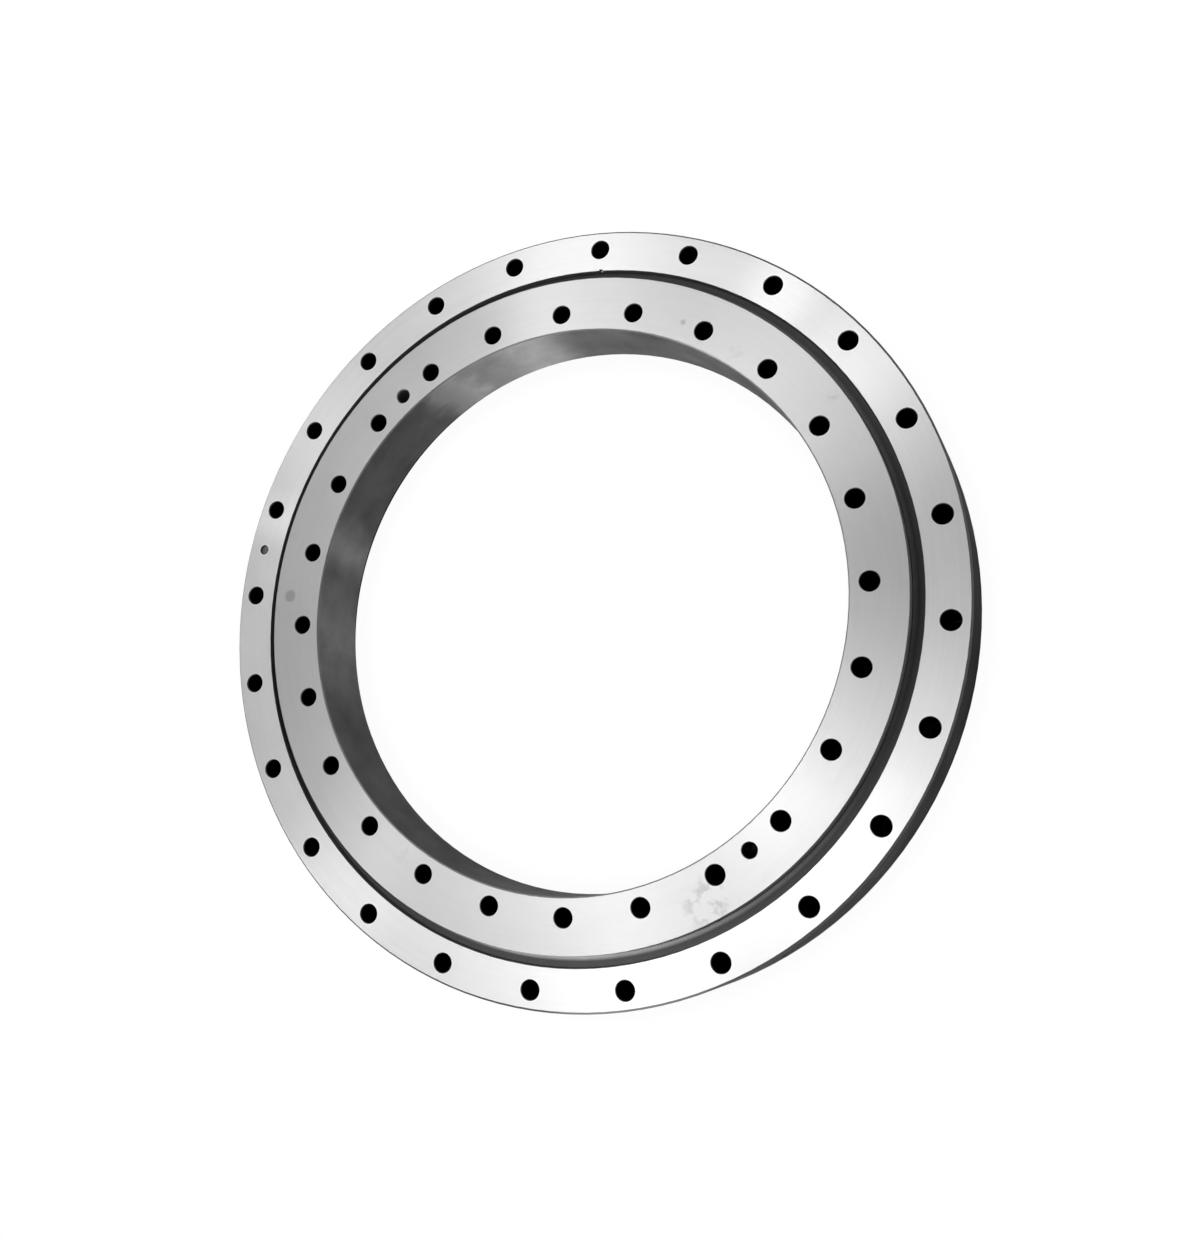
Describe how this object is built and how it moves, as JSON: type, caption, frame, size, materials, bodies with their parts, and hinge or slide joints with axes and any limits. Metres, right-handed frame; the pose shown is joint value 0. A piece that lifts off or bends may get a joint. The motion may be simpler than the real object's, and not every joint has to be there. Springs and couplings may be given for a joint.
{
  "type": "slewing ring bearing",
  "caption": "Flat slewing ring bearing without teeth: two steel rings with circles of plain bolt holes turn on one row of balls, with the inner ring standing proud.",
  "frame": {"origin": "centre of the outer ring's lower face, on the axis of rotation", "axes": "+Z along the axis of rotation, from the outer ring's lower face to the inner ring's upper face; the ball filling plug is at -X"},
  "size_m": [0.732, 0.732, 0.08],
  "materials": {
    "outer_ring_steel": "fine turned faces, bare, lightly oiled",
    "inner_ring_steel": "fine turned faces, bare, lightly oiled",
    "seal_rubber": "matt black nitrile rubber",
    "plug_steel": "turned",
    "pin_steel": "ground",
    "screw_steel": "black oxide",
    "ball_steel": "ground and polished bearing steel",
    "spacer_nylon": "natural nylon"
  },
  "bodies": {
    "outer_ring": {"outer_ring": "outer_ring_steel", "upper_seal": "seal_rubber", "loading_plug": "plug_steel", "plug_taper_pin": "pin_steel", "grease_port_plugs": "screw_steel"},
    "inner_ring": {"inner_ring": "inner_ring_steel", "lower_seal": "seal_rubber"},
    "ball_train": {"ball_01": "ball_steel", "ball_02": "ball_steel", "ball_03": "ball_steel", "ball_04": "ball_steel", "ball_05": "ball_steel", "ball_06": "ball_steel", "ball_07": "ball_steel", "ball_08": "ball_steel", "ball_09": "ball_steel", "ball_10": "ball_steel", "ball_11": "ball_steel", "ball_12": "ball_steel", "ball_13": "ball_steel", "ball_14": "ball_steel", "ball_15": "ball_steel", "ball_16": "ball_steel", "ball_17": "ball_steel", "ball_18": "ball_steel", "ball_19": "ball_steel", "ball_20": "ball_steel", "ball_21": "ball_steel", "ball_22": "ball_steel", "ball_23": "ball_steel", "ball_24": "ball_steel", "ball_25": "ball_steel", "ball_26": "ball_steel", "ball_27": "ball_steel", "ball_28": "ball_steel", "ball_29": "ball_steel", "ball_30": "ball_steel", "ball_31": "ball_steel", "ball_32": "ball_steel", "ball_33": "ball_steel", "ball_34": "ball_steel", "ball_35": "ball_steel", "ball_36": "ball_steel", "ball_37": "ball_steel", "ball_38": "ball_steel", "ball_39": "ball_steel", "ball_40": "ball_steel", "ball_41": "ball_steel", "ball_42": "ball_steel", "ball_43": "ball_steel", "ball_44": "ball_steel", "ball_45": "ball_steel", "ball_46": "ball_steel", "ball_47": "ball_steel", "ball_48": "ball_steel", "ball_49": "ball_steel", "ball_50": "ball_steel", "ball_51": "ball_steel", "ball_52": "ball_steel", "ball_spacers": "spacer_nylon"}
  },
  "joints": [
    {"name": "slewing", "type": "hinge", "parent": "outer_ring", "child": "inner_ring", "pos_m": [0, 0, 0.04], "axis": [0, 0, 1], "continuous": true},
    {"name": "ball_orbit", "type": "hinge", "parent": "outer_ring", "child": "ball_train", "pos_m": [0, 0, 0.04], "axis": [0, 0, 1], "continuous": true}
  ],
  "couplings": [
    {"joint": "ball_orbit", "follows": "slewing", "ratio": 0.4832}
  ]
}
